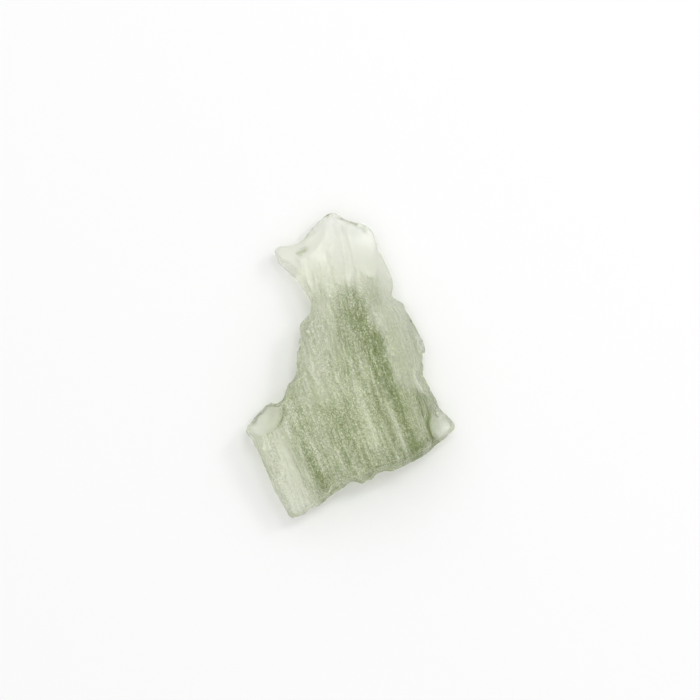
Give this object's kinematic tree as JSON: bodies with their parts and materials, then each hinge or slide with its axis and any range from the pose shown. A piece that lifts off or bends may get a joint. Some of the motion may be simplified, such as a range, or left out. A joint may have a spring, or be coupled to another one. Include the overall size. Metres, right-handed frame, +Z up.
{
  "type": "moldavite",
  "caption": "Thin flake of natural pale green glass, fluted and etched along its flow, with curved chips at its ends.",
  "frame": {"origin": "middle of the stone's footprint box, on the surface that the stone rests on", "axes": "+Y along the stone's length, from the foot to the thin crown; +Z up through its thickness, out of the fluted face"},
  "size_m": [0.0154, 0.0224, 0.0047],
  "materials": {
    "etched_green_glass": "pale green natural glass, see-through at its thin ends and frosted by fine etched pits and flow lines"
  },
  "bodies": {
    "root": {"moldavite": "etched_green_glass"}
  },
  "joints": []
}
